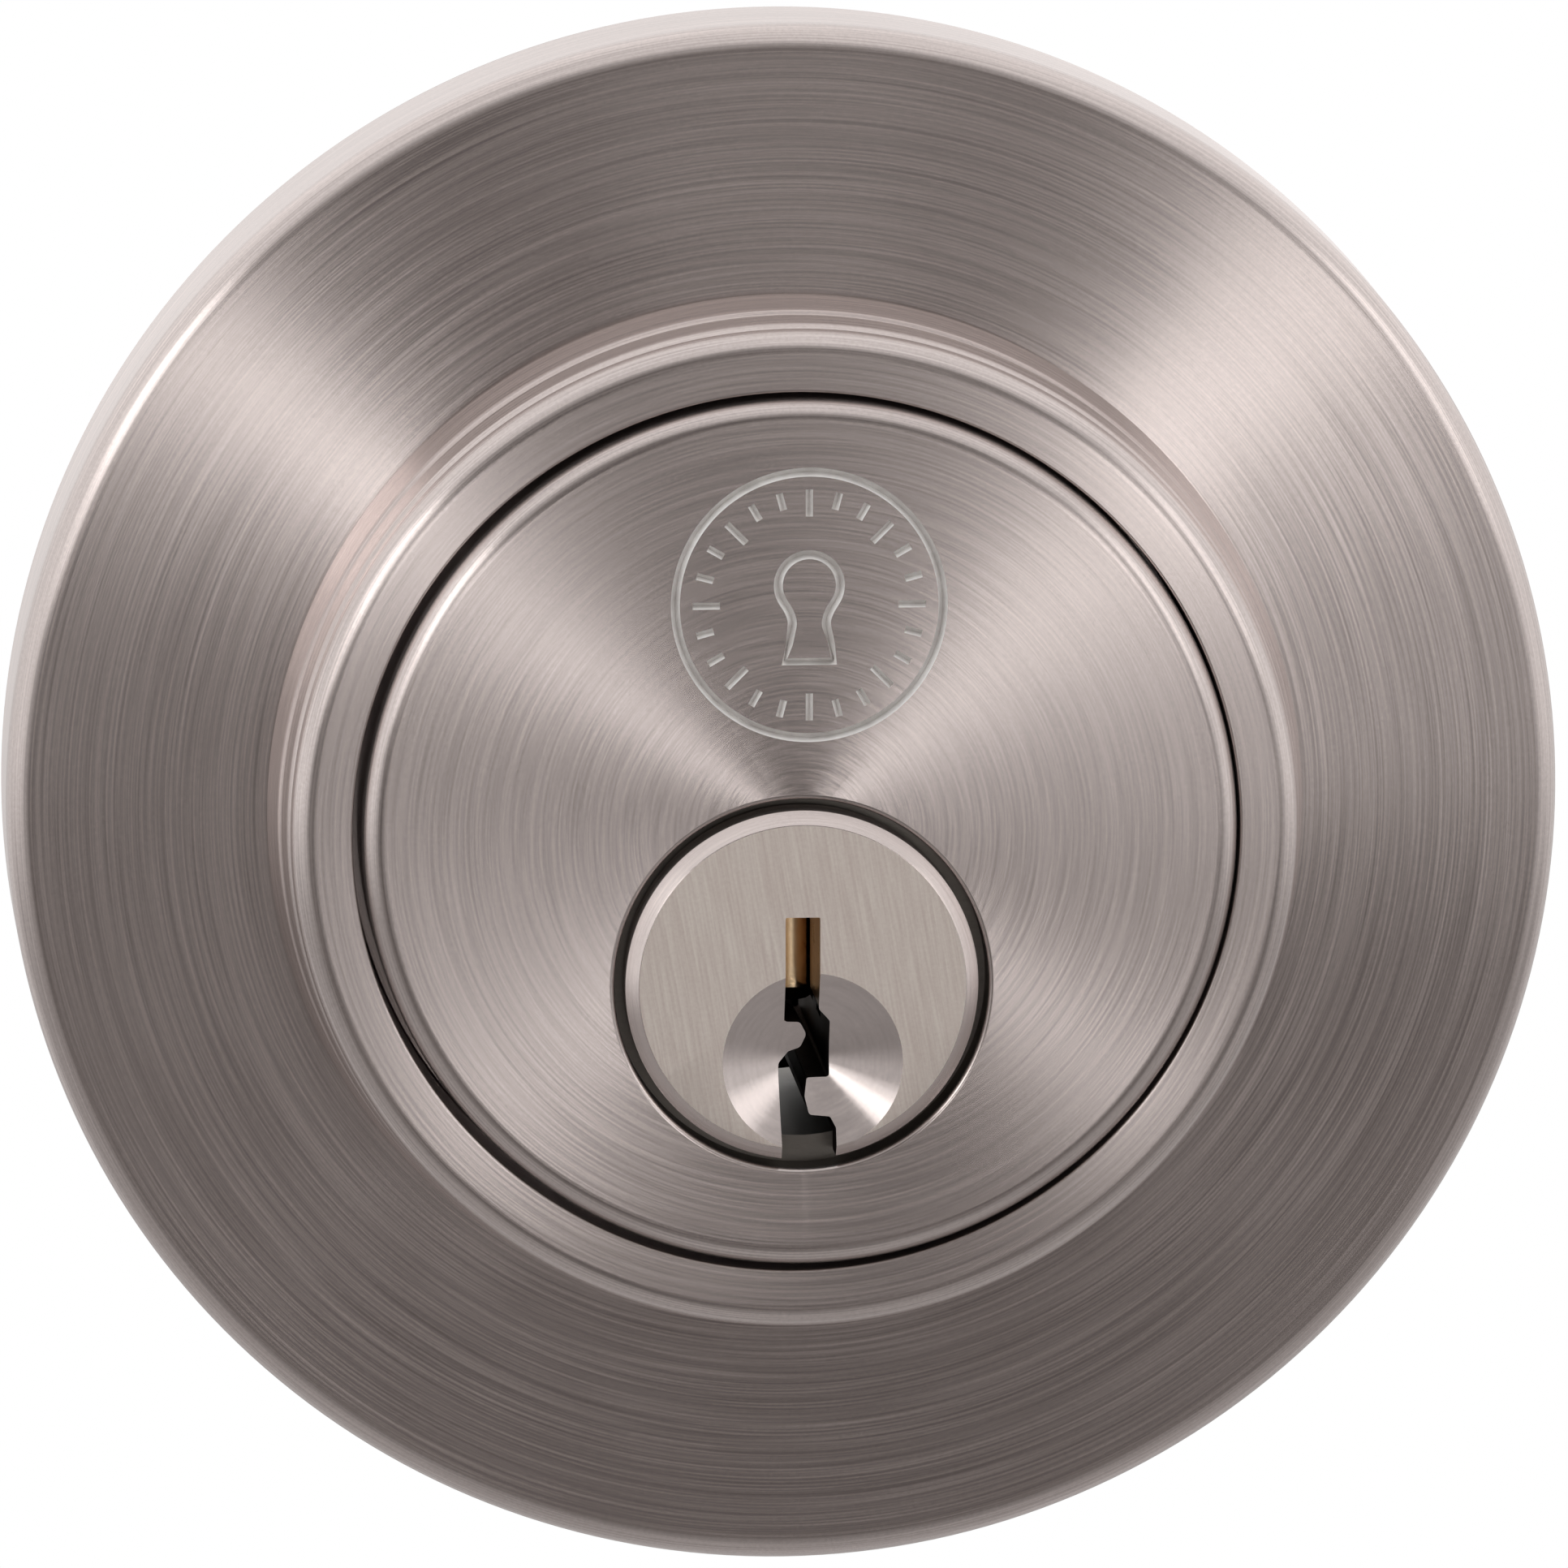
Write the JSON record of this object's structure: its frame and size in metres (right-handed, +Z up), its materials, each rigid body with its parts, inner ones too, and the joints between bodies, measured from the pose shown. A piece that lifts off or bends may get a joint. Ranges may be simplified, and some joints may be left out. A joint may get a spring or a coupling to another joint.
{
  "type": "deadbolt door lock",
  "caption": "Single-cylinder deadbolt: round outer rose with free-spinning guard collar and keyed cylinder, bolt case with throwing bolt, and inner rose with thumbturn.",
  "frame": {"origin": "on the axis of the door's cross bore, in the plane of the door's outside face", "axes": "+X towards the door's edge, the way the bolt is thrown; +Y through the door from outside to the room; +Z up"},
  "size_m": [0.0922, 0.0868, 0.0636],
  "materials": {
    "brushed_trim": "satin nickel plate over turned metal, fine rings of brushing round the axis",
    "plug_nickel": "satin nickel plate over brass, face brushed in straight lines",
    "brushed_bolt": "satin steel brushed lengthwise",
    "plated_steel": "bright zinc plate over pressed steel",
    "hardened_steel": "dark hardened steel, ground",
    "spring_steel": "drawn spring wire and strip",
    "screw_steel": "nickel plated screws, turned heads",
    "brass": "turned brass, lightly tarnished",
    "cast_zinc": "die-cast zinc alloy, matt",
    "nylon": "natural nylon"
  },
  "bodies": {
    "lock_frame": {"outer_rose": "brushed_trim", "cylinder_body": "brushed_trim", "cylinder_plate": "plated_steel", "cylinder_screw_left": "plated_steel", "cylinder_screw_right": "plated_steel", "post_left": "plated_steel", "post_right": "plated_steel", "spring_cover": "brass", "pin_spring_1": "spring_steel", "pin_spring_2": "spring_steel", "pin_spring_3": "spring_steel", "pin_spring_4": "spring_steel", "pin_spring_5": "spring_steel", "bolt_tube": "plated_steel", "case_end_ring": "plated_steel", "case_cheek_outside": "plated_steel", "case_cheek_inside": "plated_steel", "case_rivet_front": "plated_steel", "case_rivet_rear": "plated_steel", "backplate": "plated_steel", "faceplate": "brushed_bolt", "face_screw_upper": "screw_steel", "face_screw_lower": "screw_steel", "inner_plate": "plated_steel", "inner_rose": "brushed_trim", "turn_bushing": "nylon", "wave_washer": "spring_steel", "mounting_screw_left": "screw_steel", "mounting_screw_right": "screw_steel"},
    "collar": {"guard_collar": "brushed_trim"},
    "turn_train": {"thumbturn": "brushed_trim", "turn_spindle": "cast_zinc", "spindle_clip": "spring_steel", "tailpiece": "plated_steel", "crank": "cast_zinc", "crank_pin": "plated_steel"},
    "bolt_train": {"bolt": "brushed_bolt", "bolt_tail": "plated_steel", "tail_pin": "plated_steel", "hardened_insert": "hardened_steel"},
    "keyed_plug": {"plug": "plug_nickel", "plug_cap": "brass"},
    "key_pin_1": {"key_pin_1": "brass"},
    "key_pin_2": {"key_pin_2": "brass"},
    "key_pin_3": {"key_pin_3": "brass"},
    "key_pin_4": {"key_pin_4": "brass"},
    "key_pin_5": {"key_pin_5": "brass"},
    "driver_pin_1": {"driver_pin_1": "brass"},
    "driver_pin_2": {"driver_pin_2": "brass"},
    "driver_pin_3": {"driver_pin_3": "brass"},
    "driver_pin_4": {"driver_pin_4": "brass"},
    "driver_pin_5": {"driver_pin_5": "brass"}
  },
  "joints": [
    {"name": "thumbturn_turn", "type": "hinge", "parent": "lock_frame", "child": "turn_train", "pos_m": [0, 0.04445, -0.0061], "axis": [0, 1, 0], "range_deg": [0, 90]},
    {"name": "bolt_throw", "type": "slide", "parent": "lock_frame", "child": "bolt_train", "axis": [1, 0, 0], "range_m": [0, 0.0254]},
    {"name": "plug_turn", "type": "hinge", "parent": "lock_frame", "child": "keyed_plug", "pos_m": [0, -0.0162, -0.0061], "axis": [0, 1, 0], "range_deg": [0, 90]},
    {"name": "collar_spin", "type": "hinge", "parent": "lock_frame", "child": "collar", "pos_m": [0, -0.012, 0], "axis": [0, 1, 0], "continuous": true},
    {"name": "key_pin_1_slide", "type": "slide", "parent": "keyed_plug", "child": "key_pin_1", "axis": [0, 0, 1], "range_m": [-0.0004, 0]},
    {"name": "key_pin_2_slide", "type": "slide", "parent": "keyed_plug", "child": "key_pin_2", "axis": [0, 0, 1], "range_m": [-0.0022, 0]},
    {"name": "key_pin_3_slide", "type": "slide", "parent": "keyed_plug", "child": "key_pin_3", "axis": [0, 0, 1], "range_m": [-0.0011, 0]},
    {"name": "key_pin_4_slide", "type": "slide", "parent": "keyed_plug", "child": "key_pin_4", "axis": [0, 0, 1], "range_m": [-0.0027, 0]},
    {"name": "key_pin_5_slide", "type": "slide", "parent": "keyed_plug", "child": "key_pin_5", "axis": [0, 0, 1], "range_m": [-0.0016, 0]},
    {"name": "driver_pin_1_slide", "type": "slide", "parent": "lock_frame", "child": "driver_pin_1", "axis": [0, 0, 1], "range_m": [0, 0.0025], "stiffness_N_per_m": 50, "springref_m": -0.004, "deforming": ["pin_spring_1"]},
    {"name": "driver_pin_2_slide", "type": "slide", "parent": "lock_frame", "child": "driver_pin_2", "axis": [0, 0, 1], "range_m": [0, 0.0025], "stiffness_N_per_m": 50, "springref_m": -0.004, "deforming": ["pin_spring_2"]},
    {"name": "driver_pin_3_slide", "type": "slide", "parent": "lock_frame", "child": "driver_pin_3", "axis": [0, 0, 1], "range_m": [0, 0.0025], "stiffness_N_per_m": 50, "springref_m": -0.004, "deforming": ["pin_spring_3"]},
    {"name": "driver_pin_4_slide", "type": "slide", "parent": "lock_frame", "child": "driver_pin_4", "axis": [0, 0, 1], "range_m": [0, 0.0025], "stiffness_N_per_m": 50, "springref_m": -0.004, "deforming": ["pin_spring_4"]},
    {"name": "driver_pin_5_slide", "type": "slide", "parent": "lock_frame", "child": "driver_pin_5", "axis": [0, 0, 1], "range_m": [0, 0.0025], "stiffness_N_per_m": 50, "springref_m": -0.004, "deforming": ["pin_spring_5"]}
  ],
  "couplings": [
    {"joint": "thumbturn_turn", "follows": "bolt_throw", "rad_per_m": 61.84},
    {"joint": "plug_turn", "follows": "bolt_throw", "rad_per_m": 61.84}
  ]
}
